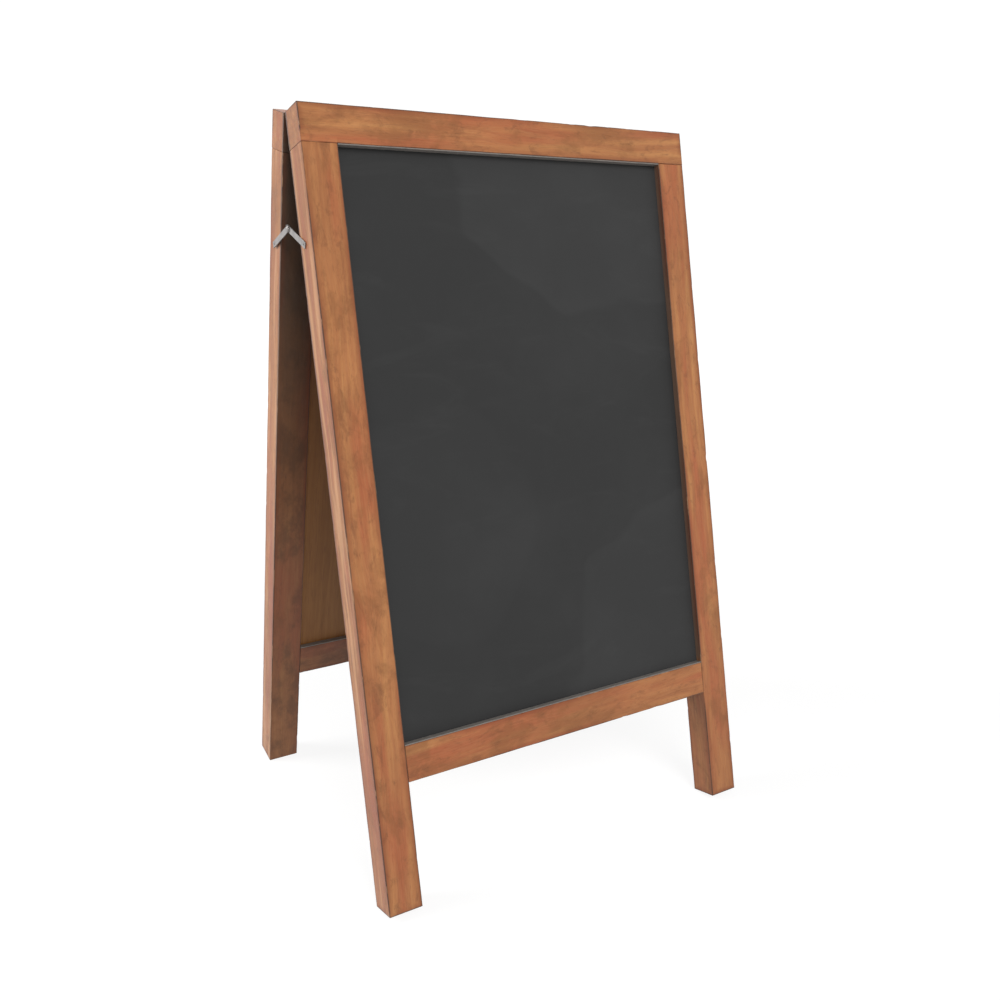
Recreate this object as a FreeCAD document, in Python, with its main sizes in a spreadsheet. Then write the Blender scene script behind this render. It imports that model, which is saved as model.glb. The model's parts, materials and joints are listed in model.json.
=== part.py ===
import FreeCAD, Part
import os
import Sketcher
from FreeCAD import Vector

# A wooden A-board: two panelled timber frames hinged together along their top rails and held open
# by a pair of two-arm folding stays. Millimetres, +Z up, origin on the floor midway between the feet.
# +X runs along the board's width and the front frame faces -Y.
#
# Frame space, used by every piece of a frame: origin at the middle of the feet's inner arrises,
# x across the board, y through the timber (0 at the inner face, negative outwards), z up the slope.

SIZES = {
    # whole board
    "board_width": 600,
    "leg_length": 1015,  # along the slope
    "opening_angle": 24.1,  # between the two frames, degrees
    # timber
    "timber_thickness": 42,
    "stile_width": 47,
    "top_rail_height": 47,
    "bottom_rail_height": 48,
    "bottom_rail_lift": 165,  # clear leg under the bottom rail
    "arris_radius": 1,
    "shoulder_chamfer": 0.4,
    # panel
    "front_recess": 10,
    "chalk_thickness": 6,
    "backing_thickness": 18,
    "groove_depth": 8,
    "panel_gap": 1,
    "channel_wall": 1.5,
    # dowelled joints
    "dowel_radius": 4,
    "dowel_length": 50,
    "dowel_spacing": 18,
    # hinges
    "hinge_offset": 180,
    "hinge_length": 60,
    "leaf_height": 28,
    "leaf_thickness": 2,
    "leaf_recess": 1,
    "leaf_gap": 0.5,
    "pin_radius": 2,
    "pin_clearance": 0.05,
    "pin_end": 0.6,
    "knuckle_wall": 2,
    "knuckle_lift": 0.45,
    "knuckle_gap": 0.3,
    "hinge_screw_radius": 1.75,
    "hinge_screw_head": 3.25,
    "hinge_screw_length": 16,
    "hinge_screw_pitch": 20,
    "hinge_screw_near": 9,
    "hinge_screw_far": 19,
    # folding stays
    "stay_drop": 163.5,  # from the top end, along the slope
    "stay_inset": 16,  # from the inner face
    "stay_slope": 19.6,  # of each arm above level, degrees
    "arm_width": 8,
    "arm_thickness": 1.5,
    "arm_gap": 0.2,
    "arm_end": 4.5,  # past the pivot
    "stay_screw_radius": 1.75,
    "stay_screw_head": 3,
    "stay_screw_length": 20,
    "spacer_wall": 2.5,
    "pivot_clearance": 0.1,
    "rivet_radius": 2,
    "rivet_head": 3.2,
    "rivet_height": 1.1,
    "rivet_shoulder": 0.45,  # height at which the dome begins
    "rivet_crown": 1.75,  # radius of the dome's flat top
    "stop_radius": 0.8,
    "stop_clearance": 0.1,
    "stop_wall": 0.3,
    # workshop
    "cut_past": 1,  # how far a cut runs past the face that it opens
}
KNUCKLES = 5  # odd ones belong to the front leaf

# Lengths that follow from the driving sizes, as expressions.
HALF_WIDTH = "(Sizes.board_width / 2)"
STILE_EDGE = f"({HALF_WIDTH} - Sizes.stile_width)"
STILE_TOP = "(Sizes.leg_length - Sizes.top_rail_height)"
BOTTOM_RAIL_TOP = "(Sizes.bottom_rail_lift + Sizes.bottom_rail_height)"
HALF_ANGLE = "(Sizes.opening_angle / 2)"
OUTER_FACE = "(-Sizes.timber_thickness)"
CHALK_FACE = f"({OUTER_FACE} + Sizes.front_recess)"
CHALK_BACK = f"({CHALK_FACE} + Sizes.chalk_thickness)"
BACKING_FACE = f"({CHALK_BACK} + Sizes.backing_thickness)"
PANEL_LOW = f"({BOTTOM_RAIL_TOP} - Sizes.groove_depth)"
PANEL_HIGH = f"({STILE_TOP} + Sizes.groove_depth - Sizes.panel_gap)"
CHANNEL_DEPTH = "(Sizes.groove_depth + Sizes.channel_wall)"
KNUCKLE_BORE = "(Sizes.pin_radius + Sizes.pin_clearance)"
KNUCKLE_RADIUS = f"({KNUCKLE_BORE} + Sizes.knuckle_wall)"
PIN_RISE = f"({KNUCKLE_RADIUS} + Sizes.knuckle_lift)"  # pin above the frame's top end
PIN_SETBACK = "(Sizes.leaf_thickness - Sizes.leaf_recess + Sizes.leaf_gap / 2)"  # pin off inner face
PIN_SLOPE = f"(Sizes.leg_length + {PIN_RISE})"
FOOT_REACH = f"({PIN_SETBACK} * cos({HALF_ANGLE}) + {PIN_SLOPE} * sin({HALF_ANGLE}))"
PIN_HEIGHT = f"({PIN_SLOPE} * cos({HALF_ANGLE}) - {PIN_SETBACK} * sin({HALF_ANGLE}))"
KNUCKLE_PITCH = f"(Sizes.hinge_length / {KNUCKLES})"
STAY_LEVEL = "(Sizes.leg_length - Sizes.stay_drop)"
STAY_SPAN = f"({FOOT_REACH} - {STAY_LEVEL} * sin({HALF_ANGLE}) + Sizes.stay_inset * cos({HALF_ANGLE}))"
STAY_HEIGHT = f"({STAY_LEVEL} * cos({HALF_ANGLE}) + Sizes.stay_inset * sin({HALF_ANGLE}))"
ARM_LENGTH = f"({STAY_SPAN} / cos(Sizes.stay_slope))"  # pivot to rivet
INNER_ARM = f"({HALF_WIDTH} + Sizes.arm_gap)"
OUTER_ARM = f"({INNER_ARM} + Sizes.arm_thickness + Sizes.arm_gap)"
# The stop stud stands on the inner arm's tail, just above the outer arm's upper edge. The outer arm
# ends in a half round about the rivet, which the stud clears as the stay folds.
STOP_RISE = "(Sizes.arm_width / 2 + Sizes.stop_clearance + Sizes.stop_radius)"
STOP_ACROSS = "(Sizes.arm_width / 2 - Sizes.stop_wall - Sizes.stop_radius)"
STOP_ALONG = f"(({STOP_RISE} - {STOP_ACROSS} * cos(2 * Sizes.stay_slope)) / sin(2 * Sizes.stay_slope))"
INNER_TAIL = f"({STOP_ALONG} + Sizes.stop_radius + Sizes.stop_wall)"

doc = FreeCAD.newDocument("a_board")
sheet = doc.addObject("Spreadsheet::Sheet", "Sizes")
for row, (alias, value) in enumerate(SIZES.items(), start=1):
    sheet.set(f"A{row}", alias)
    sheet.set(f"B{row}", str(value))
    sheet.setAlias(f"B{row}", alias)
doc.recompute()


def number(expression):
    return float(FreeCAD.Units.Quantity(sheet.evalExpression(str(expression))).Value)


# ---------------------------------------------------------------- features

def new_body(label):
    body = doc.addObject("PartDesign::Body", label)
    body.Label = label
    body.AllowCompound = True
    return body


def new_sketch(body, plane, offset="0", shift="0", lift="0"):
    """A sketch on one of the body's origin planes, moved by offset along its normal."""
    sketch = body.newObject("Sketcher::SketchObject", "Sketch")
    origin_plane = next(item for item in body.Origin.OriginFeatures if item.Role == plane)
    sketch.AttachmentSupport = [(origin_plane, "")]
    sketch.MapMode = "FlatFace"
    for axis, expression in (("x", shift), ("y", lift), ("z", offset)):
        sketch.setExpression(f"AttachmentOffset.Base.{axis}", str(expression))
    return sketch


def draw_outline(sketch, points):
    """A closed polygon whose corners are (x, y) expressions."""
    first = sketch.GeometryCount
    corners = [Vector(number(x), number(y), 0) for x, y in points]
    for start, end in zip(corners, corners[1:] + corners[:1]):
        sketch.addGeometry(Part.LineSegment(start, end), False)
    for index in range(len(points)):
        following = (index + 1) % len(points)
        sketch.addConstraint(Sketcher.Constraint("Coincident", first + index, 2, first + following, 1))
    for index, (x, y) in enumerate(points):
        pin_point(sketch, first + index, 1, x, y)


def draw_rectangle(sketch, left, low, right, high):
    draw_outline(sketch, [(left, low), (right, low), (right, high), (left, high)])


def draw_circle(sketch, x, y, radius):
    centre = Vector(number(x), number(y), 0)
    line = sketch.addGeometry(Part.Circle(centre, Vector(0, 0, 1), number(radius)), False)
    pin_point(sketch, line, 3, x, y)
    bind(sketch, Sketcher.Constraint("Radius", line, number(radius)), radius)


def pin_point(sketch, line, point, x, y):
    bind(sketch, Sketcher.Constraint("DistanceX", -1, 1, line, point, number(x)), x)
    bind(sketch, Sketcher.Constraint("DistanceY", -1, 1, line, point, number(y)), y)


def bind(sketch, constraint, expression):
    index = sketch.addConstraint(constraint)
    sketch.setExpression(f"Constraints[{index}]", str(expression))


def pad(body, sketch, length, symmetric=False, backwards=False):
    feature = body.newObject("PartDesign::Pad", "Pad")
    feature.Profile = sketch
    feature.SideType = "Symmetric" if symmetric else "One side"
    feature.Reversed = backwards
    feature.setExpression("Length", str(length))
    return feature


def pocket(body, sketch, depth, symmetric=False, backwards=False):
    doc.recompute()
    before = body.Shape.Volume
    feature = body.newObject("PartDesign::Pocket", "Pocket")
    feature.Profile = sketch
    feature.SideType = "Symmetric" if symmetric else "One side"
    feature.Reversed = backwards
    feature.setExpression("Length", str(depth))
    doc.recompute()
    if not body.Shape.Volume < before:
        raise RuntimeError(f"{body.Label}: a pocket cut nothing")
    return feature


def countersink(body, sketch, radius, head_radius, backwards):
    """Through holes with 90 degree countersinks at the sketch's circles."""
    doc.recompute()
    before = body.Shape.Volume
    feature = body.newObject("PartDesign::Hole", "Hole")
    feature.Profile = sketch
    feature.DepthType = "ThroughAll"
    feature.Reversed = backwards
    feature.setExpression("Diameter", f"2 * {radius}")
    feature.HoleCutType = "Countersink"
    feature.HoleCutCustomValues = True
    feature.HoleCutCountersinkAngle = 90
    feature.setExpression("HoleCutDiameter", f"2 * {head_radius}")
    doc.recompute()
    if not body.Shape.Volume < before:
        raise RuntimeError(f"{body.Label}: a hole cut nothing")
    return feature


def straight_edges(shape, direction):
    """Names of the edges that run the given way along the piece's outermost corners."""
    box = shape.BoundBox
    names = []
    for index, edge in enumerate(shape.Edges, start=1):
        run = edge.Vertexes[-1].Point - edge.Vertexes[0].Point
        along = abs(run.dot(direction))
        middle = edge.BoundBox.Center
        on_corner = sum(
            abs(middle[axis] - limit) < 1e-6
            for axis, limits in enumerate(((box.XMin, box.XMax), (box.YMin, box.YMax), (box.ZMin, box.ZMax)))
            for limit in limits
        )
        if along > 1e-6 and abs(along - run.Length) < 1e-6 and on_corner == 2:
            names.append(f"Edge{index}")
    return names


def soften(body, base, direction):
    """Rounds the four long arrises of a freshly padded timber."""
    doc.recompute()
    fillet = body.newObject("PartDesign::Fillet", "Arrises")
    fillet.Base = (base, straight_edges(base.Shape, direction))
    fillet.setExpression("Radius", "Sizes.arris_radius")
    return fillet


def bevel_end(body, base, axis, ends):
    """Bevels the end faces that butt against another timber, so that the joint reads as a fine line."""
    doc.recompute()
    faces = [
        f"Face{index}"
        for index, face in enumerate(base.Shape.Faces, start=1)
        if abs(abs(face.normalAt(0, 0)[axis]) - 1) < 1e-6
        and any(abs(face.CenterOfMass[axis] - number(end)) < 1e-6 for end in ends)
    ]
    chamfer = body.newObject("PartDesign::Chamfer", "Shoulder")
    chamfer.Base = (base, faces)
    chamfer.setExpression("Size", "Sizes.shoulder_chamfer")
    return chamfer


# ---------------------------------------------------------------- places

FRONT = f"rotation(vector(1; 0; 0); -{HALF_ANGLE})"
REAR = f"rotation(vector(0; 0; 1); 180) * {FRONT}"


def place(body, side, x="0", y="0", z="0", turn=None):
    """Stands a piece on the front or rear side of the board; y is counted towards the front."""
    towards = "-" if side == "front" else ""
    turn = turn or (FRONT if side == "front" else REAR)
    body.setExpression("Placement", f"placement(vector({x}; {towards}({y}); {z}); {turn})")


def place_in_frame(body, side):
    place(body, side, y=FOOT_REACH)


def local_x(side, hand):
    """Sign of frame-space x for the board's left or right: the rear frame is turned half round."""
    sign = -1 if hand == "left" else 1
    return sign if side == "front" else -sign


# ---------------------------------------------------------------- timber frames

def stile(side, hand):
    body = new_body(f"{side}_{hand}_stile")
    sign = local_x(side, hand)
    inner, outer = (f"{sign} * {STILE_EDGE}", f"{sign} * {HALF_WIDTH}")
    section = new_sketch(body, "XY_Plane")
    draw_rectangle(section, min(inner, outer, key=number), OUTER_FACE, max(inner, outer, key=number), 0)
    timber = pad(body, section, STILE_TOP)
    rounded = soften(body, timber, Vector(0, 0, 1))
    bevel_end(body, rounded, 2, [STILE_TOP])

    groove = new_sketch(body, "YZ_Plane", offset=inner)
    draw_rectangle(groove, CHALK_FACE, PANEL_LOW, BACKING_FACE, f"{STILE_TOP} + Sizes.cut_past")
    pocket(body, groove, "Sizes.groove_depth", backwards=sign > 0)

    top_dowels = new_sketch(body, "XY_Plane", offset=STILE_TOP)
    for x in top_dowel_places(sign):
        draw_circle(top_dowels, x, f"{OUTER_FACE} / 2", "Sizes.dowel_radius")
    pocket(body, top_dowels, "Sizes.dowel_length / 2")

    side_dowels = new_sketch(body, "YZ_Plane", offset=inner)
    for z in side_dowel_places():
        draw_circle(side_dowels, f"{OUTER_FACE} / 2", z, "Sizes.dowel_radius")
    pocket(body, side_dowels, "Sizes.dowel_length / 2", backwards=sign > 0)

    pilot = new_sketch(body, "YZ_Plane", offset=outer)
    draw_circle(pilot, "-Sizes.stay_inset", STAY_LEVEL, "Sizes.stay_screw_radius")
    screw_depth = stay_screw_depth(side)
    pocket(body, pilot, screw_depth, backwards=sign < 0)
    place_in_frame(body, side)


def top_dowel_places(sign):
    """Across the stile's head, clear of the panel groove on its inner edge."""
    middle = f"({HALF_WIDTH} - (Sizes.stile_width - Sizes.groove_depth) / 2)"
    return [f"{sign} * ({middle} + {half} * Sizes.dowel_spacing)" for half in (-0.5, 0.5)]


def side_dowel_places():
    """Up the bottom rail's end, clear of the channel groove in its top edge."""
    middle = f"(Sizes.bottom_rail_lift + (Sizes.bottom_rail_height - {CHANNEL_DEPTH}) / 2)"
    return [f"{middle} + {half} * Sizes.dowel_spacing" for half in (-0.5, 0.5)]


def channel_groove(body, rail_edge, inwards):
    """Cuts the groove that takes the metal channel, from rail_edge into the rail, between the stiles."""
    groove = new_sketch(body, "YZ_Plane")
    depth = f"{rail_edge} {inwards} {CHANNEL_DEPTH}"
    low, high = sorted((rail_edge, depth), key=number)
    draw_rectangle(
        groove, f"{CHALK_FACE} - Sizes.channel_wall", low, f"{BACKING_FACE} + Sizes.channel_wall", high
    )
    pocket(body, groove, f"2 * {STILE_EDGE}", symmetric=True)


def top_rail(side):
    body = new_body(f"{side}_top_rail")
    section = new_sketch(body, "YZ_Plane")
    draw_rectangle(section, OUTER_FACE, STILE_TOP, 0, "Sizes.leg_length")
    timber = pad(body, section, "Sizes.board_width", symmetric=True)
    soften(body, timber, Vector(1, 0, 0))
    channel_groove(body, STILE_TOP, "+")

    corner_housing = new_sketch(body, "YZ_Plane")
    draw_rectangle(corner_housing, CHALK_FACE, STILE_TOP, BACKING_FACE, f"{STILE_TOP} + Sizes.groove_depth")
    pocket(body, corner_housing, f"2 * ({STILE_EDGE} + Sizes.groove_depth)", symmetric=True)

    dowels = new_sketch(body, "XY_Plane", offset=STILE_TOP)
    for sign in (-1, 1):
        for x in top_dowel_places(sign):
            draw_circle(dowels, x, f"{OUTER_FACE} / 2", "Sizes.dowel_radius")
    pocket(body, dowels, "Sizes.dowel_length / 2", backwards=True)

    seats = new_sketch(body, "XZ_Plane")
    pilots = new_sketch(body, "XZ_Plane", offset="Sizes.leaf_recess")
    for sign in (-1, 1):
        centre = f"{sign} * Sizes.hinge_offset"
        draw_rectangle(
            seats,
            f"{centre} - Sizes.hinge_length / 2",
            "Sizes.leg_length - Sizes.leaf_height",
            f"{centre} + Sizes.hinge_length / 2",
            "Sizes.leg_length + Sizes.cut_past",
        )
        for x, drop in hinge_screw_places():
            draw_circle(pilots, f"{centre} + {x}", f"Sizes.leg_length - {drop}", "Sizes.hinge_screw_radius")
    pocket(body, seats, "Sizes.leaf_recess", backwards=True)
    pocket(body, pilots, "Sizes.hinge_screw_length - Sizes.leaf_thickness", backwards=True)
    place_in_frame(body, side)


def bottom_rail(side):
    body = new_body(f"{side}_bottom_rail")
    section = new_sketch(body, "YZ_Plane")
    draw_rectangle(section, OUTER_FACE, "Sizes.bottom_rail_lift", 0, BOTTOM_RAIL_TOP)
    timber = pad(body, section, f"2 * {STILE_EDGE}", symmetric=True)
    rounded = soften(body, timber, Vector(1, 0, 0))
    bevel_end(body, rounded, 0, [f"-{STILE_EDGE}", STILE_EDGE])
    channel_groove(body, BOTTOM_RAIL_TOP, "-")
    for sign in (-1, 1):
        dowels = new_sketch(body, "YZ_Plane", offset=f"{sign} * {STILE_EDGE}")
        for z in side_dowel_places():
            draw_circle(dowels, f"{OUTER_FACE} / 2", z, "Sizes.dowel_radius")
        pocket(body, dowels, "Sizes.dowel_length / 2", backwards=sign < 0)
    place_in_frame(body, side)


def dowels(side):
    body = new_body(f"{side}_dowels")
    upright = new_sketch(body, "XY_Plane", offset=STILE_TOP)
    for sign in (-1, 1):
        for x in top_dowel_places(sign):
            draw_circle(upright, x, f"{OUTER_FACE} / 2", "Sizes.dowel_radius")
    pad(body, upright, "Sizes.dowel_length", symmetric=True)
    for sign in (-1, 1):
        level = new_sketch(body, "YZ_Plane", offset=f"{sign} * {STILE_EDGE}")
        for z in side_dowel_places():
            draw_circle(level, f"{OUTER_FACE} / 2", z, "Sizes.dowel_radius")
        pad(body, level, "Sizes.dowel_length", symmetric=True)
    place_in_frame(body, side)


def panel(side, name, outer, inner):
    """A sheet held in the grooves of both stiles, standing on the bottom channel."""
    body = new_body(f"{side}_{name}")
    section = new_sketch(body, "YZ_Plane")
    draw_rectangle(section, outer, PANEL_LOW, inner, PANEL_HIGH)
    pad(body, section, f"2 * ({STILE_EDGE} + Sizes.groove_depth - Sizes.panel_gap)", symmetric=True)
    place_in_frame(body, side)


def channel(side, name, rail_edge, inwards):
    """A flanged metal channel: it lines the rail's groove and its lips cover the rail's inner edge."""
    outwards = "-" if inwards == "+" else "+"
    wall = "Sizes.channel_wall"
    lip = f"{rail_edge} {outwards} {wall}"
    floor = f"{rail_edge} {inwards} Sizes.groove_depth"
    bottom = f"{rail_edge} {inwards} {CHANNEL_DEPTH}"
    body = new_body(f"{side}_{name}_channel")
    section = new_sketch(body, "YZ_Plane")
    draw_outline(section, [
        (OUTER_FACE, rail_edge),
        (f"{CHALK_FACE} - {wall}", rail_edge),
        (f"{CHALK_FACE} - {wall}", bottom),
        (f"{BACKING_FACE} + {wall}", bottom),
        (f"{BACKING_FACE} + {wall}", rail_edge),
        ("0", rail_edge),
        ("0", lip),
        (BACKING_FACE, lip),
        (BACKING_FACE, floor),
        (CHALK_FACE, floor),
        (CHALK_FACE, lip),
        (OUTER_FACE, lip),
    ])
    pad(body, section, f"2 * {STILE_EDGE}", symmetric=True)
    place_in_frame(body, side)


# ---------------------------------------------------------------- hinges

def hinge_screw_places():
    """(x from the hinge's middle, drop below the frame's top end) of each screw in a leaf."""
    return [
        ("(-Sizes.hinge_screw_pitch)", "Sizes.hinge_screw_near"),
        ("0", "Sizes.hinge_screw_far"),
        ("Sizes.hinge_screw_pitch", "Sizes.hinge_screw_near"),
    ]


def hinge_leaf(side, hand):
    """Leaf space: x along the pin from the hinge's middle, pin axis at y = 0, z = 0."""
    body = new_body(f"{hand}_hinge_{side}_leaf")
    wood = f"(-{PIN_SETBACK})"
    back = f"({wood} - Sizes.leaf_recess)"
    face = f"({back} + Sizes.leaf_thickness)"
    plate = new_sketch(body, "YZ_Plane")
    draw_rectangle(
        plate, back, f"-{PIN_RISE} - Sizes.leaf_height", face, f"-({KNUCKLE_BORE} + {KNUCKLE_RADIUS}) / 2"
    )
    pad(body, plate, "Sizes.hinge_length", symmetric=True)
    barrel = new_sketch(body, "YZ_Plane")
    draw_circle(barrel, "0", "0", KNUCKLE_RADIUS)
    pad(body, barrel, "Sizes.hinge_length", symmetric=True)

    bore = new_sketch(body, "YZ_Plane")
    draw_circle(bore, "0", "0", "Sizes.pin_radius" if side == "front" else KNUCKLE_BORE)
    pocket(body, bore, "Sizes.hinge_length", symmetric=True)

    gaps = new_sketch(body, "XZ_Plane")
    for knuckle in range(KNUCKLES):
        if (knuckle % 2 == 0) == (side == "front"):
            continue
        middle = f"({knuckle} - ({KNUCKLES} - 1) / 2) * {KNUCKLE_PITCH}"
        half = f"({KNUCKLE_PITCH} / 2 + Sizes.knuckle_gap / 2)"
        top = f"{KNUCKLE_RADIUS} + Sizes.cut_past"
        draw_rectangle(gaps, f"{middle} - {half}", f"-{PIN_RISE}", f"{middle} + {half}", top)
    pocket(body, gaps, f"2 * {PIN_RISE}", symmetric=True)

    holes = new_sketch(body, "XZ_Plane", offset=f"-{face}")
    for x, drop in hinge_screw_places():
        draw_circle(holes, x, f"-{PIN_RISE} - {drop}", "Sizes.hinge_screw_radius")
    countersink(body, holes, "Sizes.hinge_screw_radius", "Sizes.hinge_screw_head", True)
    place(body, side, x=hinge_x(hand), z=PIN_HEIGHT)


def hinge_x(hand):
    return f"{-1 if hand == 'left' else 1} * Sizes.hinge_offset"


def hinge_pin(hand):
    body = new_body(f"{hand}_hinge_pin")
    section = new_sketch(body, "YZ_Plane")
    draw_circle(section, "0", "0", "Sizes.pin_radius")
    pad(body, section, "Sizes.hinge_length + 2 * Sizes.pin_end", symmetric=True)
    place(body, "front", x=hinge_x(hand), z=PIN_HEIGHT)


def screw_outline(sketch, radius, head, length):
    """Half of a countersunk screw: x from its axis, y from its head's face towards its point."""
    draw_outline(sketch, [
        ("0", "0"),
        (head, "0"),
        (radius, f"{head} - {radius}"),
        (radius, f"{length} - {radius}"),
        ("0", length),
    ])


def turned(body, sketch, axis="V_Axis"):
    feature = body.newObject("PartDesign::Revolution", "Turned")
    feature.Profile = sketch
    feature.ReferenceAxis = (sketch, [axis])
    feature.Angle = 360


def hinge_screws(side):
    """All the screws of one frame's two leaves. Frame space; they point out through the timber."""
    body = new_body(f"{side}_hinge_screws")
    face = "(Sizes.leaf_thickness - Sizes.leaf_recess)"
    for sign in (-1, 1):
        for x, drop in hinge_screw_places():
            half = new_sketch(
                body,
                "XY_Plane",
                offset=f"Sizes.leg_length - {drop}",
                shift=f"{sign} * Sizes.hinge_offset + {x}",
                lift=face,
            )
            half.AttachmentOffset = FreeCAD.Placement(
                half.AttachmentOffset.Base, FreeCAD.Rotation(Vector(0, 0, 1), 180)
            )
            screw_outline(half, "Sizes.hinge_screw_radius", "Sizes.hinge_screw_head", "Sizes.hinge_screw_length")
            turned(body, half)
    place_in_frame(body, side)


# ---------------------------------------------------------------- folding stays

def arm_face(side):
    """Outer face of an arm, from the board's middle plane; the front arm is the inner one."""
    plane = INNER_ARM if side == "front" else OUTER_ARM
    return f"({plane} + Sizes.arm_thickness)"


def stay_screw_depth(side):
    """How deep the stay's screw goes into the stile."""
    return f"({HALF_WIDTH} + Sizes.stay_screw_length - {arm_face(side)})"


def place_arm(body, side):
    """Arm space: pivot at y = 0, z = 0, the arm runs along +y to its rivet."""
    turn = "rotation(vector(1; 0; 0); Sizes.stay_slope)"
    if side == "rear":
        turn = f"rotation(vector(0; 0; 1); 180) * {turn}"
    place(body, side, y=STAY_SPAN, z=STAY_HEIGHT, turn=turn)


def stay_arm(side, hand):
    body = new_body(f"{hand}_stay_{side}_arm")
    sign = local_x(side, hand)
    near = INNER_ARM if side == "front" else OUTER_ARM
    half = "Sizes.arm_width / 2"
    strip = new_sketch(body, "YZ_Plane", offset=f"{sign} * {near}")
    tail = INNER_TAIL if side == "front" else "0"
    draw_rectangle(strip, "-Sizes.arm_end", f"-{half}", f"{ARM_LENGTH} + {tail}", half)
    pad(body, strip, "Sizes.arm_thickness", backwards=sign < 0)
    knuckle = new_sketch(body, "YZ_Plane", offset=f"{sign} * {near}")
    if side == "front":
        draw_circle(knuckle, f"{ARM_LENGTH} + {STOP_ALONG}", STOP_ACROSS, "Sizes.stop_radius")
        pad(body, knuckle, "2 * Sizes.arm_thickness + Sizes.arm_gap", backwards=sign < 0)
    else:
        draw_circle(knuckle, ARM_LENGTH, "0", half)
        pad(body, knuckle, "Sizes.arm_thickness", backwards=sign < 0)

    rivet_hole = new_sketch(body, "YZ_Plane")
    draw_circle(rivet_hole, ARM_LENGTH, "0", "Sizes.rivet_radius")
    pocket(body, rivet_hole, "2 * Sizes.board_width", symmetric=True)

    pivot_hole = new_sketch(body, "YZ_Plane", offset=f"{sign} * {arm_face(side)}")
    draw_circle(pivot_hole, "0", "0", "Sizes.stay_screw_radius")
    countersink(
        body,
        pivot_hole,
        "(Sizes.stay_screw_radius + Sizes.pivot_clearance)",
        "(Sizes.stay_screw_head + Sizes.pivot_clearance)",
        sign < 0,
    )
    place_arm(body, side)


def stay_rivet(side, hand):
    """The knuckle's rivet is split between the arms: a domed head in the outer, a flush tail in the inner."""
    body = new_body(f"{hand}_stay_rivet_{'tail' if side == 'front' else 'head'}")
    sign = local_x(side, hand)
    near = INNER_ARM if side == "front" else OUTER_ARM
    profile = new_sketch(body, "XY_Plane", shift=f"{sign} * {near}", lift=ARM_LENGTH)
    radius = "Sizes.rivet_radius"
    out = f"{sign} * Sizes.arm_thickness"
    if side == "front":
        draw_rectangle(profile, min("0", out, key=number), "0", max("0", out, key=number), radius)
    else:
        crown = f"{sign} * (Sizes.arm_thickness + Sizes.rivet_height)"
        shoulder = f"{sign} * (Sizes.arm_thickness + Sizes.rivet_shoulder)"
        draw_outline(profile, [
            ("0", "0"),
            ("0", radius),
            (out, radius),
            (out, "Sizes.rivet_head"),
            (shoulder, "Sizes.rivet_head"),
            (crown, "Sizes.rivet_crown"),
            (crown, "0"),
        ])
    turned(body, profile, "H_Axis")
    place_arm(body, side)


def stay_screws(side):
    body = new_body(f"{side}_stay_screws")
    for sign in (-1, 1):
        face = f"{sign} * {arm_face(side)}"
        half = new_sketch(body, "XY_Plane", offset=STAY_LEVEL, shift=face, lift="-Sizes.stay_inset")
        half.AttachmentOffset = FreeCAD.Placement(
            half.AttachmentOffset.Base, FreeCAD.Rotation(Vector(0, 0, 1), 90 * sign)
        )
        screw_outline(half, "Sizes.stay_screw_radius", "Sizes.stay_screw_head", "Sizes.stay_screw_length")
        turned(body, half)
    place_in_frame(body, side)


def stay_spacers():
    """Bushes that hold the outer arms off the rear stiles."""
    body = new_body("rear_stay_spacers")
    for sign in (-1, 1):
        ring = new_sketch(body, "YZ_Plane", offset=f"{sign} * {HALF_WIDTH}")
        for radius in ("Sizes.stay_screw_radius", "(Sizes.stay_screw_radius + Sizes.spacer_wall)"):
            draw_circle(ring, "-Sizes.stay_inset", STAY_LEVEL, radius)
        pad(body, ring, f"{OUTER_ARM} - {HALF_WIDTH} - Sizes.pivot_clearance", backwards=sign < 0)
    place_in_frame(body, "rear")


# ---------------------------------------------------------------- the board

for side in ("front", "rear"):
    top_rail(side)
    bottom_rail(side)
    dowels(side)
    panel(side, "chalk_panel", CHALK_FACE, CHALK_BACK)
    panel(side, "backing_board", CHALK_BACK, BACKING_FACE)
    channel(side, "top", STILE_TOP, "+")
    channel(side, "bottom", BOTTOM_RAIL_TOP, "-")
    hinge_screws(side)
    stay_screws(side)
    for hand in ("left", "right"):
        stile(side, hand)
        hinge_leaf(side, hand)
        stay_arm(side, hand)
        stay_rivet(side, hand)
for hand in ("left", "right"):
    hinge_pin(hand)
stay_spacers()
doc.recompute()

for item in doc.Objects:
    if "Invalid" in item.State or "Error" in item.State:
        raise RuntimeError(f"{item.Name} ({item.Label}) did not build: {item.State}")
bodies = [item for item in doc.Objects if item.TypeId == "PartDesign::Body"]
for body in bodies:
    if body.Shape.isNull() or not body.Shape.isValid() or not body.Shape.Solids:
        raise RuntimeError(f"{body.Label} has no valid solid")

os.makedirs("parts", exist_ok=True)
for body in bodies:
    body.Shape.exportStep(f"parts/{body.Label}.step")
    print(body.Label, len(body.Shape.Solids), round(body.Shape.Volume, 1))
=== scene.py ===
import json
import math

import bmesh
import bpy
from mathutils import Euler, Matrix, Vector, noise


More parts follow.
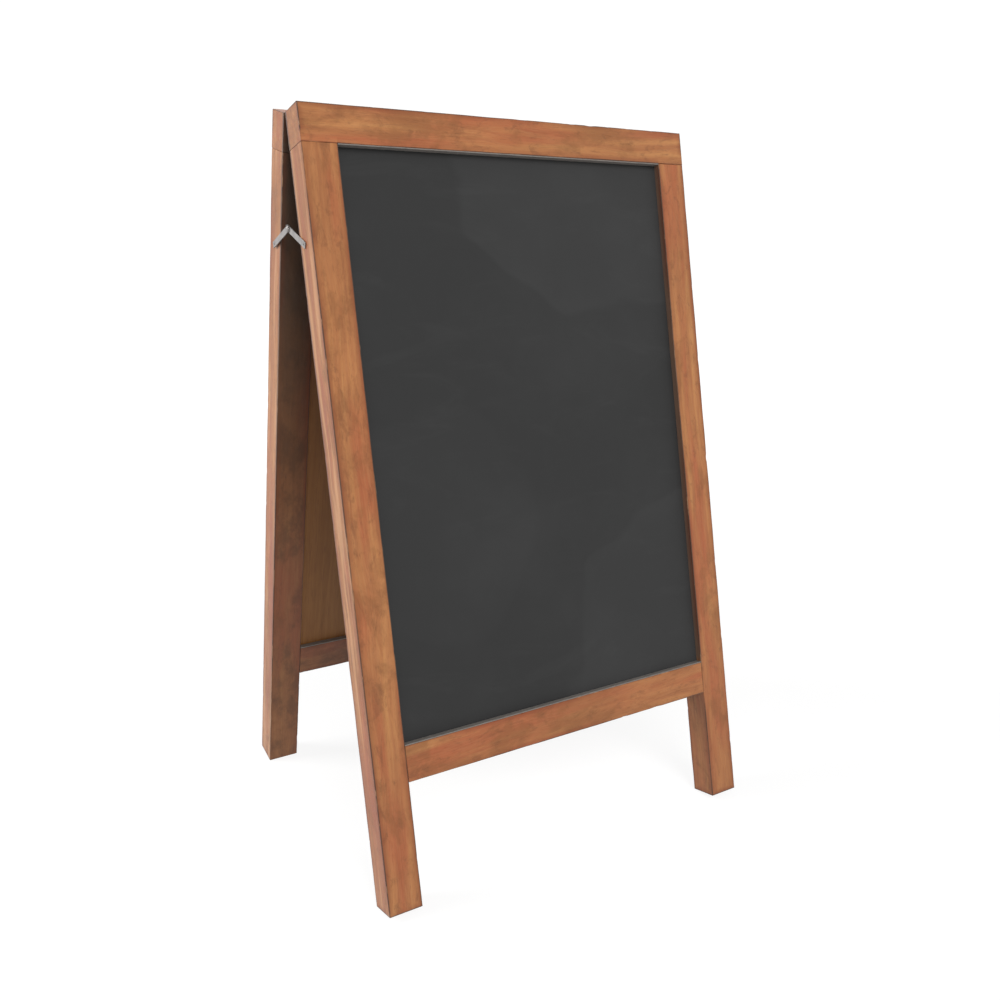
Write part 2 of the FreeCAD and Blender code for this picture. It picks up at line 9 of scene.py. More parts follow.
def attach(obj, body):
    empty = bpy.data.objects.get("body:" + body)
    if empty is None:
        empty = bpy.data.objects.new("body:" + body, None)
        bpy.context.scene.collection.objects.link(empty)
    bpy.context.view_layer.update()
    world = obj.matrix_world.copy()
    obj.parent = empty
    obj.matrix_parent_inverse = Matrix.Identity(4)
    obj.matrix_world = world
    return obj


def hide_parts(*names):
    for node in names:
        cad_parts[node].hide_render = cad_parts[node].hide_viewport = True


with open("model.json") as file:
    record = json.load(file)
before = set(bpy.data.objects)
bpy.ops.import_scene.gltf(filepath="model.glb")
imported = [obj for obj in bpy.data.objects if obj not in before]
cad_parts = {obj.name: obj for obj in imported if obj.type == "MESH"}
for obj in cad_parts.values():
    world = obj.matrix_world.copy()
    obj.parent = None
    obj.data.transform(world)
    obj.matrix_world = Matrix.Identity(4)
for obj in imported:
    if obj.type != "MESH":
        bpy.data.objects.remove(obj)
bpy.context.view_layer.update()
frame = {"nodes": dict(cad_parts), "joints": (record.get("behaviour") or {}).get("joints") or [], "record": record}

# ---------------------------------------------------------------- driving sizes, metres and radians

MM = 0.001
FOLD = next(joint for joint in frame["joints"] if joint["name"] == "fold")
LEAN = math.radians(-FOLD["range_deg"][0] / 2)
SIDES = ("front", "rear")
HANDS = ("left", "right")

# Turns the board's directions to a leaning frame's own: x across, y out of its inner face, z up the slope.
TURN = {"front": Euler((LEAN, 0, 0)), "rear": Euler((-LEAN, 0, math.pi))}

ACROSS, OUTWARD, UPWARD = 0, 1, 2     # a leaning frame's axes, as numbers

MERGE_GAP = 0.002 * MM      # corners closer together than this are one
CUT_TOLERANCE = 0.001 * MM
FLAT_ANGLE = 0.6            # degrees; faces that turn less than this are one flat face
CREASE_ANGLE = 40           # degrees; an edge that turns more than this stays crisp
SCREW_CREASE = 35           # the same on a screw

WEAR_STEP = 4 * MM          # spacing of the cuts along a timber that carry its worn arrises
ARRIS_REACH = 2.2 * MM      # how far from an arris the wear reaches
ARRIS_WEAR = 0.35 * MM      # scale of the steady rounding of an arris
KNOCK_DEPTH = 1.1 * MM      # scale of the knocks in an arris
WEAR_WAVES = 6              # waves of wear to the metre, before the two below
STEADY_WAVES = 4            # how much closer the steady rounding's waves are
KNOCK_WAVES = 13            # how much closer the knocks' waves are
STEADY_LIFT = 0.35          # raises the steady rounding, so that few stretches have none
KNOCK_BAR = 0.42            # lowers the knocks, so that few stretches have one
METAL_EDGE = 0.22 * MM      # softened edge of stamped metal
CHANNEL_EDGE = 0.3 * MM     # softened edge of the metal channels

SCREW_SHANK = 1.75 * MM
SCREW_THREAD = 0.35 * MM
SCREW_SLOT = 0.75 * MM
SCREW_SLOT_DEPTH = 1.1 * MM
SECOND_SLOT = 0.86          # how deep a recess's second slot is beside its first
SLOT_REACH = 1.15           # how long a recess's slot is beside its head's radius
SCREW_LAP = 0.2 * MM        # how far a screw's core runs into its head, and its tip into its core
SCREW_TAPER = 2.5           # how long a screw's tip is beside its shank's radius
SCREW_TURNS = 9.0
TURN_STEPS = 14             # straight steps in one turn of a thread
HEAD_SIDES = 40
CORE_SIDES = 20

JOINT_ALLOWANCE = 50 * MM   # how far a butted end is taken past its joint when arrises are looked for
GAP_SHADE_LOW = 0.20          # height up the slope where the painted shade on the inner faces starts to deepen
GAP_SHADE_HIGH = 0.85         # height from which the painted shade of the hinge gap is at its darkest

HEART = (0.018, 0.052)      # how far the tree's heart lies from a timber's middle, across it and through it
RING_GAP = 5.4 * MM         # between growth rings
RING_DRIFT = 1.6            # rings passed in a metre along a timber
GRAIN_SWAY = 0.030          # how far the slow sway of the grain carries it
GRAIN_CURL = 0.007          # how far its quicker curl does
SKIN = 0.3 * MM             # a face's own stain is whole to this depth below it
SKIN_FADE = 1.2 * MM        # and gone at this one

BOARD_MIDDLE = 0.5          # height that the lights are aimed at
STUDIO_RADIUS = 12
HORIZON = (1.2, 3.5)        # distances between which the floor lightens to the backdrop's white

LENS_LENGTH = 34.80         # millimetres, on a sensor SENSOR_WIDTH wide
SENSOR_WIDTH = 36
CAMERA_PLACE = (-0.7348, -1.2206, 0.8401)
CAMERA_TURN = (0.5512, -0.2601, 0.0088)     # yaw from +y towards +x, pitch and roll

# ---------------------------------------------------------------- shader building


def paint(code):
    """A linear colour from its usual six-figure code."""
    parts = [int(code[i:i + 2], 16) / 255 for i in (1, 3, 5)]
    linear = [p / 12.92 if p <= 0.04045 else ((p + 0.055) / 1.055) ** 2.4 for p in parts]
    return (*linear, 1.0)


class Value:
    """A shader socket that adds Math nodes when it is used in a sum."""

    def __init__(self, finish, socket):
        self.finish = finish
        self.socket = socket

    def __add__(self, other):
        return self.finish.math("ADD", self, other)

    def __sub__(self, other):
        return self.finish.math("SUBTRACT", self, other)

    def __rsub__(self, other):
        return self.finish.math("SUBTRACT", other, self)

    def __mul__(self, other):
        return self.finish.math("MULTIPLY", self, other)

    def __truediv__(self, other):
        return self.finish.math("DIVIDE", self, other)

    def __abs__(self):
        return self.finish.math("ABSOLUTE", self)

    __radd__ = __add__
    __rmul__ = __mul__


class Finish:
    """A material being made. node() makes every node; the rest are the shapes of node used most."""

    def __init__(self, name):
        self.material = bpy.data.materials.new(name)
        self.material.use_nodes = True
        self.tree = self.material.node_tree
        self.tree.nodes.clear()

    def node(self, kind, settings=None, inputs=None, output=0):
        made = self.tree.nodes.new(kind)
        for key, value in (settings or {}).items():
            if key == "stops":
                self.set_stops(made.color_ramp, value)
            else:
                setattr(made, key, value)
        for key, value in (inputs or {}).items():
            if isinstance(value, Value):
                self.tree.links.new(value.socket, made.inputs[key])
            else:
                made.inputs[key].default_value = value
        return Value(self, made.outputs[output]) if made.outputs else None

    @staticmethod
    def set_stops(ramp, stops):
        while len(ramp.elements) < len(stops):
            ramp.elements.new(1.0)
        for element, (position, colour) in zip(ramp.elements, stops):
            element.position = position
            element.color = colour

    def math(self, operation, *values):
        return self.node("ShaderNodeMath", {"operation": operation}, dict(enumerate(values)))

    def vector(self, operation, *values, output=0):
        return self.node("ShaderNodeVectorMath", {"operation": operation}, dict(enumerate(values)), output)

    def mask(self, value, low, high):
        """0 at low, 1 at high, eased between."""
        limits = {"Value": value, "From Min": low, "From Max": high}
        return self.node("ShaderNodeMapRange", {"interpolation_type": "SMOOTHSTEP"}, limits)

    def noise(self, place, scale, detail=2.0, roughness=0.5, distortion=0.0, output=0):
        inputs = {"Vector": place, "Scale": scale, "Detail": detail, "Roughness": roughness,
                  "Distortion": distortion}
        return self.node("ShaderNodeTexNoise", {}, inputs, output)

    def mix(self, factor, first, second):
        return self.node("ShaderNodeMix", {"data_type": "RGBA"}, {0: factor, 6: first, 7: second}, output=2)

    def stain(self, colour, amount, code):
        """The colour with that much of another laid over it."""
        return self.mix(amount, colour, paint(code))

    def ramp(self, value, *stops):
        shades = [(position, paint(code)) for position, code in stops]
        return self.node("ShaderNodeValToRGB", {"stops": shades}, {"Fac": value})

    def join(self, x, y, z):
        return self.node("ShaderNodeCombineXYZ", {}, {"X": x, "Y": y, "Z": z})

    def split(self, place):
        parts = self.node("ShaderNodeSeparateXYZ", {}, {"Vector": place}).socket.node
        return [Value(self, output) for output in parts.outputs]

    def stretched(self, place, amounts):
        """A place squeezed by these amounts, which draws a pattern out where they are small."""
        return self.vector("MULTIPLY", place, amounts)

    def grained(self, place, amount):
        """A place squeezed along z, which draws a pattern out along an upright grain."""
        return self.stretched(place, (1, 1, amount))

    def swirl(self, place, scale, amounts):
        """A slow wandering of a place, to be added to it."""
        drift = self.noise(place, scale, 2, output=1)
        return self.vector("MULTIPLY", self.vector("SUBTRACT", drift, (0.5, 0.5, 0.5)), amounts)

    def own_place(self, side):
        """Object coordinates turned to a leaning frame's directions, in metres."""
        place = self.node("ShaderNodeTexCoord", {}, {}, "Object")
        turn = {"Vector": place, "Rotation": tuple(TURN[side])}
        return self.node("ShaderNodeMapping", {"vector_type": "POINT"}, turn)

    def bump(self, height, distance, strength=1.0):
        return self.node("ShaderNodeBump", {}, {"Height": height, "Distance": distance, "Strength": strength})

    def surface(self, **inputs):
        names = {key.replace("_", " "): value for key, value in inputs.items()}
        shader = self.node("ShaderNodeBsdfPrincipled", {}, names)
        self.node("ShaderNodeOutputMaterial", {}, {"Surface": shader})
        return self.material


def corners(places):
    """The lowest and highest corner of the box that holds these places."""
    low = Vector([min(place[i] for place in places) for i in range(3)])
    high = Vector([max(place[i] for place in places) for i in range(3)])
    return low, high


def turned_box(node, side):
    """A node's lowest and highest corner along its leaning frame's directions."""
    turn = TURN[side].to_matrix()
    return corners([turn @ vertex.co for vertex in frame["nodes"][node].data.vertices])


# ---------------------------------------------------------------- timber finish


def timber_finish(name, node, side, grain, seed, redness, butted):
    """Stained and lacquered hardwood with its growth rings, fibres, pores and handling marks, and with painted
    shade and painted sheen on some of its faces.
    """
    finish = Finish(name)
    place = finish.split(finish.own_place(side))
    low, high = turned_box(node, side)
    wood = timber_figure(finish, place, low, high, grain, seed)
    colour = figured_colour(finish, wood, redness)
    colour = face_stains_and_painted_light(finish, colour, wood, place, side, low, high, grain)
    edge = arris_distance(finish, place, low, high, butted)
    colour, rubbed = edge_stains(finish, colour, wood, place, edge, node, side)
    rough = 0.30 + wood["cloud"] * 0.16 + wood["pore"] * 0.15 + rubbed * 0.12
    height = (wood["fine"] * 0.35 + wood["streak"] * 0.4 - wood["pore"] * 0.6 - wood["late"] * 0.25
              - wood["hairline"] * 0.3)
    normal = finish.bump(height, 0.18 * MM, 0.7)
    return finish.surface(Base_Color=colour, Roughness=rough, Normal=normal, Specular_IOR_Level=0.3)


def timber_figure(finish, place, low, high, grain, seed):
    """The patterns of one timber: its own place along the grain, its fibres, and masks and noises on them.
    The seed says which part of the tree it is cut from."""
    x, y, z = place
    middle = (low + high) / 2
    along, across = (z, x) if grain == "z" else (x, z)
    across_middle = middle.x if grain == "z" else middle.z
    cut = (seed * 0.37, seed * 0.23, seed * 1.9)
    plank = finish.join(across - across_middle + cut[0], y - middle.y + cut[1], along + cut[2])
    sway = finish.swirl(finish.grained(plank, 0.35), 9, (GRAIN_SWAY, GRAIN_SWAY, 0))
    curl = finish.swirl(finish.grained(plank, 0.22), 55, (GRAIN_CURL, GRAIN_CURL, 0))
    fibre = finish.vector("ADD", finish.vector("ADD", plank, sway), curl)

    heart = (cut[0] + HEART[0], cut[1] + HEART[1], 0)
    radial = finish.vector("MULTIPLY", finish.vector("SUBTRACT", fibre, heart), (1, 1, 0))
    radius = finish.vector("LENGTH", radial, output="Value")
    ring = finish.math("FRACT", radius / RING_GAP + along * RING_DRIFT)
    smudge = finish.noise(finish.grained(plank, 0.5), 58, 6, 0.74, 0.6)
    crease = finish.noise(finish.grained(plank, 0.7), 95, 3, 0.6, 0.5)
    return {
        "plank": plank,
        "fibre": fibre,
        "late": finish.mask(ring, 0.35, 0.92) * (1 - finish.mask(ring, 0.93, 1.0)),
        "streak": finish.noise(finish.grained(fibre, 0.05), 100, 3, 0.5),
        "broad": finish.noise(finish.grained(fibre, 0.14), 30, 2),
        "fine": finish.noise(finish.grained(fibre, 0.03), 560, 2, 0.6),
        "shade": finish.noise(finish.grained(plank, 0.5), 7, 2),
        "pore": finish.mask(finish.noise(finish.grained(fibre, 0.03), 1500, 1), 0.60, 0.72),
        "cloud": finish.noise(finish.grained(plank, 0.65), 17, 6, 0.68, 0.4),
        "smudge": smudge,
        "hairline": (1 - finish.mask(abs(crease - 0.5), 0.002, 0.016)) * finish.mask(smudge, 0.50, 0.62)}


def figured_colour(finish, wood, redness):
    """The stained wood's colour away from its edges and its handled faces."""
    colour = finish.ramp(wood["streak"],
                         (0.30, "#A0643D"), (0.48, "#AE7145"), (0.60, "#B67A4A"), (0.76, "#C38954"))
    red = finish.mask(wood["broad"], 0.5 - redness, 0.70 - redness)
    for amount, code in ((red * 0.80, "#A95B3A"),
                         (wood["late"] * 0.24, "#8F5331"),
                         (finish.mask(wood["fine"], 0.35, 0.75) * 0.17, "#CB9665"),
                         (finish.mask(wood["shade"], 0.45, 0.70) * 0.38, "#94603A"),
                         (finish.mask(wood["cloud"], 0.48, 0.64) * 0.50, "#80532F"),
                         (finish.mask(wood["smudge"], 0.52, 0.66) * 0.38, "#6E452B"),
                         (wood["hairline"] * 0.20, "#5E3D25"),
                         (wood["pore"] * 0.26, "#5A3420")):
        colour = finish.stain(colour, amount, code)
    return colour


def face_stains_and_painted_light(finish, colour, wood, place, side, low, high, grain):
    """Stains and painted light face by face: ribboned outer sides with painted sheen in their light streaks,
    painted shade greying the reveals, painted shade on undersides and tops, and painted shade on the inner faces
    that deepens the nearer they are to the hinges."""
    x, y, z = place
    # ribbon figure on the outer side faces: its light peach streaks are painted sheen, its darker streaks the
    # wood's own tone
    ribbon = finish.noise(finish.grained(wood["fibre"], 0.05), 62, 2)
    outer = max(-low.x, high.x)
    flank_ribbon_and_sheen = finish.mask(abs(x), outer - SKIN_FADE, outer - 0.4 * MM) * (1.0 if grain == "z" else 0.3)
    colour = finish.stain(colour, flank_ribbon_and_sheen * finish.mask(ribbon, 0.50, 0.64) * 0.42, "#DDA97C")
    colour = finish.stain(colour, flank_ribbon_and_sheen * (1 - finish.mask(ribbon, 0.36, 0.48)) * 0.50, "#97523A")
    if grain == "z":
        # painted shade: the stiles' inner side faces in the recess beside the panel are greyed and darkened
        inward = 1 - finish.mask(abs(x) - stile_inner_edge(side), SKIN, SKIN_FADE)
        rail_top = turned_box(f"{side}_bottom_rail", side)[1].z
        reveal_shade = inward * finish.mask(z - rail_top, -4 * MM, 12 * MM)
        colour = finish.stain(colour, reveal_shade * 0.80, "#79695D")
    else:
        # painted shade: a rail's underside and its top are darkened
        underside_shade = 1 - finish.mask(z - low.z, SKIN, SKIN_FADE)
        top = finish.mask(z - high.z, -SKIN_FADE, -SKIN)
        colour = finish.stain(colour, underside_shade * 0.45 + top * 0.50, "#6E4029")

    # painted shade: the inner faces, turned towards the other frame, are darkened in uneven patches
    inside = finish.mask(y - high.y, -6 * MM, -1 * MM)
    patch = finish.mask(finish.noise(finish.grained(wood["plank"], 0.6), 24, 5, 0.7), 0.42, 0.62)
    colour = finish.stain(colour, inside * (0.34 + patch * 0.34), "#553826")
    # painted shade: the inner faces darken further up the slope, towards the hinge gap
    hinge_gap_shade = inside * finish.mask(z, GAP_SHADE_LOW, GAP_SHADE_HIGH)
    return finish.stain(colour, hinge_gap_shade * (0.72 + wood["cloud"] * 0.22), "#4F443B")


def edge_stains(finish, colour, wood, place, edge, node, side):
    """Stain gathered along the arrises, dirt in them, and rubbed stretches. Returns their mask as well."""
    x, _, z = place
    low, high = turned_box(node, side)
    grime = finish.noise(finish.grained(wood["plank"], 0.6), 60, 3, 0.6)
    stretch = finish.noise(finish.grained(wood["plank"], 0.25), 14, 3, 0.6)
    gathered = (1 - finish.mask(edge, 0.5 * MM, 9.5 * MM)) * (0.22 + finish.mask(stretch, 0.38, 0.58) * 0.78)
    dirty = (1 - finish.mask(edge, 0.7 * MM, 2 * MM)) * finish.mask(stretch + grime * 0.3, 0.42, 0.66)
    if node.endswith("top_rail"):
        over_stile = finish.mask(abs(x) - stile_inner_edge(side), 0.0, MM)
        tight = over_stile * (1 - finish.mask(z - low.z, 10 * MM, 16 * MM))
        gathered = gathered * (1 - tight)
        dirty = dirty * (1 - tight * 0.8)
    if node.endswith("bottom_rail"):
        dirty = dirty * (1 - finish.mask(z - high.z, -8 * MM, -4 * MM))
    colour = finish.stain(colour, gathered * 0.62, "#7C3F26")
    colour = finish.stain(colour, dirty * 0.85, "#46342A")
    rubbed = (1 - finish.mask(edge, SKIN, SKIN_FADE)) * finish.mask(grime, 0.56, 0.68)
    return finish.stain(colour, rubbed * 0.45, "#D8A67A"), rubbed


def stile_inner_edge(side):
    """How far the stiles' inner side faces stand from the middle of the board."""
    low, high = turned_box(f"{side}_left_stile", side)
    return min(abs(low.x), abs(high.x))


def arris_distance(finish, place, low, high, butted):
    """Distance from a point on a squared timber to its nearest arris: the middle one of three face distances.
    Ends that butt against another timber, named as (axis, sign), have no arris of their own."""
    low, high = low.copy(), high.copy()
    for axis, sign in butted:
        if sign < 0:
            low[axis] -= JOINT_ALLOWANCE
        else:
            high[axis] += JOINT_ALLOWANCE
    reach = [half - abs(p - centre) for p, centre, half in
             zip(place, (low + high) / 2, (high - low) / 2)]
    smaller = finish.math("MINIMUM", reach[0], reach[1])
    larger = finish.math("MAXIMUM", reach[0], reach[1])
    return finish.math("MAXIMUM", smaller, finish.math("MINIMUM", larger, reach[2]))


# ---------------------------------------------------------------- other finishes


def chalkboard_finish(name, side, arcs):
    """Matt black coating with faint wipe marks, chalk haze and dust. An arc is the edge of a wiped patch: its
    centre's x and z, its radius, how wide its edge is and how much haze it leaves inside."""
    finish = Finish(name)
    place = finish.own_place(side)
    x, _, z = finish.split(place)
    cloud = finish.noise(place, 5, 4, 0.6)
    waver = finish.noise(place, 3.2, 2, 0.5)
    drag = finish.noise(finish.grained(place, 0.25), 60, 3, 0.6)
    wipe = finish.noise(finish.stretched(place, (0.5, 1, 1.6)), 11, 4, 0.65, 1.2)
    haze = finish.mask(cloud, 0.42, 0.75) * 0.35 + finish.mask(wipe, 0.52, 0.72) * 0.22
    for centre_x, centre_z, radius, width, amount in arcs:
        reach = finish.vector("LENGTH", finish.join(x - centre_x, 0.0, z - centre_z), output="Value")
        reach = reach + (waver - 0.5) * 0.34 + (cloud - 0.5) * 0.05
        inside = 1 - finish.mask(reach, radius - width, radius)
        haze = haze + inside * amount
    speck = finish.mask(finish.noise(place, 900, 2), 0.60, 0.75)
    haze = haze + (drag - 0.5) * 0.3 + speck * 0.12
    colour = finish.mix(haze * 0.5, paint("#2C2C2C"), paint("#464646"))
    grit = finish.noise(place, 1300, 2, 0.7)
    rough = 0.62 + drag * 0.12 + haze * 0.08
    normal = finish.bump(grit + drag * 0.3, 0.10 * MM, 0.6)
    return finish.surface(Base_Color=colour, Roughness=rough, Normal=normal, Specular_IOR_Level=0.3)


def backing_finish(name, side, seed):
    """Stained board with a straight, close vertical grain, duller than the frame's timber."""
    finish = Finish(name)
    plank = finish.vector("ADD", finish.own_place(side), (seed, seed * 0.6, seed * 1.3))
    fibre = finish.vector("ADD", plank, finish.swirl(finish.grained(plank, 0.3), 6, (0.03, 0.01, 0)))
    streak = finish.noise(finish.grained(fibre, 0.02), 120, 4, 0.65)
    fine = finish.noise(finish.grained(fibre, 0.02), 700, 2, 0.6)
    pore = finish.mask(finish.noise(finish.grained(fibre, 0.03), 1200, 1), 0.60, 0.72)
    mottle = finish.noise(finish.grained(plank, 0.6), 8, 4, 0.6)
    colour = finish.ramp(streak, (0.3, "#8F602D"), (0.5, "#986733"), (0.7, "#A16F39"))
    colour = finish.stain(colour, finish.mask(fine, 0.4, 0.75) * 0.20, "#73482A")
    colour = finish.stain(colour, finish.mask(mottle, 0.48, 0.72) * 0.30, "#774C2C")
    colour = finish.stain(colour, pore * 0.35, "#482B18")
    rough = 0.50 + mottle * 0.15
    normal = finish.bump(streak * 0.5 + fine * 0.4 - pore * 0.5, 0.20 * MM, 0.8)
    return finish.surface(Base_Color=colour, Roughness=rough, Normal=normal, Specular_IOR_Level=0.3)


def dowel_finish(name, side):
    """Plain beech with short flecks."""
    finish = Finish(name)
    place = finish.own_place(side)
    fleck = finish.noise(finish.stretched(place, (0.1, 1, 1)), 900, 2)
    tone = finish.noise(place, 90, 3)
    colour = finish.ramp(tone, (0.35, "#C9A273"), (0.65, "#DDBB8C"))
    colour = finish.stain(colour, finish.mask(fleck, 0.55, 0.7) * 0.5, "#A87C50")
    return finish.surface(Base_Color=colour, Roughness=0.6 + fleck * 0.1, Normal=finish.bump(fleck, 0.1 * MM))


def metal_finish(name, side, dark, light, drawn, roughness, sheen=1.0, relief=0.08 * MM):
    """Bare or plated metal: drawn lines along x, cloudy plating, specks of dirt and scratches. Sheen is how
    metallic it looks, little for dull metal under an oxide skin, and relief how deep its marks are."""
    finish = Finish(name)
    place = finish.own_place(side)
    cloud = finish.noise(place, 110, 4, 0.6)
    lines = finish.noise(finish.stretched(place, drawn), 2200, 2, 0.6)
    scratch = finish.noise(finish.stretched(place, (0.25, 1, 0.12)), 1400, 1, distortion=1.5)
    scratch = finish.mask(scratch, 0.66, 0.72)
    speck = finish.mask(finish.noise(place, 700, 2), 0.64, 0.74)
    colour = finish.mix(finish.mask(cloud, 0.3, 0.7), paint(dark), paint(light))
    colour = finish.stain(colour, finish.mask(lines, 0.35, 0.7) * 0.25, light)
    colour = finish.stain(colour, speck * 0.5, "#3C3630")
    rough = roughness + cloud * 0.16 + speck * 0.25 - scratch * 0.08
    height = lines * 0.4 + scratch * -0.6 + cloud * 0.4
    normal = finish.bump(height, relief, 0.7)
    metallic = (1 - speck * 0.7) * sheen
    return finish.surface(Base_Color=colour, Metallic=metallic, Roughness=rough, Normal=normal)


# ---------------------------------------------------------------- mesh work


def body_holding(node):
    bodies = frame["record"]["behaviour"]["bodies"]
    return next(body for body, nodes in bodies.items() if node in nodes)


def merged_copy(node):
    """A node's mesh with its loose triangles joined and its flat faces made whole."""
    work = bmesh.new()
    work.from_mesh(frame["nodes"][node].data)
    bmesh.ops.remove_doubles(work, verts=work.verts, dist=MERGE_GAP)
    bmesh.ops.dissolve_limit(work, angle_limit=math.radians(FLAT_ANGLE), verts=work.verts,
                             edges=work.edges, delimit={"NORMAL"})
    return work


def placed(name, data):
    """A new object in the scene."""
    made = bpy.data.objects.new(name, data)
    bpy.context.scene.collection.objects.link(made)
    return made


def solid(name, work, material):
    """An object made of mesh work, in one material."""
    mesh = bpy.data.meshes.new(name)
    work.to_mesh(mesh)
    work.free()
    mesh.materials.append(material)
    return placed(name, mesh)


def finished_piece(name, work, material, nodes, crease=CREASE_ANGLE):
    """Turns mesh work into a piece that stands for the given nodes and rides with their body."""
    for face in work.faces:
        face.smooth = True
    for edge in work.edges:
        edge.smooth = edge.is_manifold and edge.calc_face_angle(0) < math.radians(crease)
    piece = solid(name, work, material)
    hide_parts(*nodes)
    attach(piece, body_holding(nodes[0]))
    return piece


def soften_edges(piece, width):
    bevel = piece.modifiers.new("softened edges", "BEVEL")
    bevel.width = width
    bevel.segments = 2
    bevel.limit_method = "ANGLE"
    bevel.angle_limit = math.radians(CREASE_ANGLE)
    bevel.use_clamp_overlap = False
    even_normals(piece)


def even_normals(piece):
    weighted = piece.modifiers.new("even normals", "WEIGHTED_NORMAL")
    weighted.keep_sharp = True
    weighted.weight = 60


def metal_piece(name, node, material, edge_width):
    """A node's own shape with its edges softened."""
    soften_edges(finished_piece(name, merged_copy(node), material, [node]), edge_width)


def worn_timber(name, node, side, grain, material, seed):
    """A timber whose arrises are rounded unevenly and knocked here and there."""
    work = merged_copy(node)
    turn = TURN[side].to_matrix()
    low, high = turned_box(node, side)
    back = turn.inverted()
    run = UPWARD if grain == "z" else ACROSS
    direction = back @ Vector((run == ACROSS, 0, run == UPWARD))
    cuts = round((high[run] - low[run]) / WEAR_STEP)
    for i in range(1, cuts):
        along = low[run] + (high[run] - low[run]) * i / cuts
        geometry = work.verts[:] + work.edges[:] + work.faces[:]
        bmesh.ops.bisect_plane(work, geom=geometry, dist=CUT_TOLERANCE, plane_co=direction * along,
                               plane_no=direction)
    middle = (low + high) / 2
    for vertex in work.verts:
        place = turn @ vertex.co
        gaps = [min(place[i] - low[i], high[i] - place[i]) for i in range(3)]
        nearest = sorted(range(3), key=lambda i: gaps[i])[:2]
        reach = gaps[nearest[1]]
        if reach > ARRIS_REACH:
            continue
        spot = Vector((place.x * WEAR_WAVES + seed, place.y * WEAR_WAVES, place.z * WEAR_WAVES))
        steady = ARRIS_WEAR * max(0.0, noise.noise(spot * STEADY_WAVES) + STEADY_LIFT)
        knock = KNOCK_DEPTH * max(0.0, noise.noise(spot * KNOCK_WAVES + Vector((9, 4, seed))) - KNOCK_BAR) * 2
        depth = (steady + knock) * (1 - reach / ARRIS_REACH)
        for i in nearest:
            place[i] += math.copysign(depth, middle[i] - place[i])
        vertex.co = back @ place
    even_normals(finished_piece(name, work, material, [node]))


# ---------------------------------------------------------------- screws


def islands(node, side):
    """The turned boxes of a node's separate solids."""
    work = bmesh.new()
    work.from_mesh(frame["nodes"][node].data)
    bmesh.ops.remove_doubles(work, verts=work.verts, dist=MERGE_GAP)
    turn = TURN[side].to_matrix()
    left = set(work.verts)
    boxes = []
    while left:
        group, front = [], [left.pop()]
        while front:
            vertex = front.pop()
            group.append(turn @ vertex.co)
            for edge in vertex.link_edges:
                other = edge.other_vert(vertex)
                if other in left:
                    left.remove(other)
                    front.append(other)
        boxes.append(corners(group))
    work.free()
    return sorted(boxes, key=lambda box: tuple(box[0]))


class GeometryTree:
    """A Geometry Nodes tree with named inputs."""

    def __init__(self, name, inputs):
        self.tree = bpy.data.node_groups.new(name, "GeometryNodeTree")
        self.tree.interface.new_socket("Geometry", in_out="OUTPUT", socket_type="NodeSocketGeometry")
        self.tree.interface.new_socket("Geometry", in_out="INPUT", socket_type="NodeSocketGeometry")
        self.identifiers = {}
        for label, kind in inputs.items():
            socket = self.tree.interface.new_socket(label, in_out="INPUT", socket_type=kind)
            self.identifiers[label] = socket.identifier
        self.start = self.tree.nodes.new("NodeGroupInput")
        self.end = self.tree.nodes.new("NodeGroupOutput")

    def given(self, label):
        return self.start.outputs[label]

    def node(self, kind, settings=None, inputs=None, output=0):
        made = self.tree.nodes.new(kind)
        for key, value in (settings or {}).items():
            setattr(made, key, value)
        for key, value in (inputs or {}).items():
            if isinstance(value, bpy.types.NodeSocket):
                self.tree.links.new(value, made.inputs[key])
            elif isinstance(value, list):
                for socket in value:
                    self.tree.links.new(socket, made.inputs[key])
            else:
                made.inputs[key].default_value = value
        return made.outputs[output]

    def math(self, operation, first, second):
        return self.node("ShaderNodeMath", {"operation": operation}, {0: first, 1: second})

    def moved(self, shape, z):
        shift = self.node("ShaderNodeCombineXYZ", {}, {"Z": z})
        return self.node("GeometryNodeTransform", {}, {"Geometry": shape, "Translation": shift})


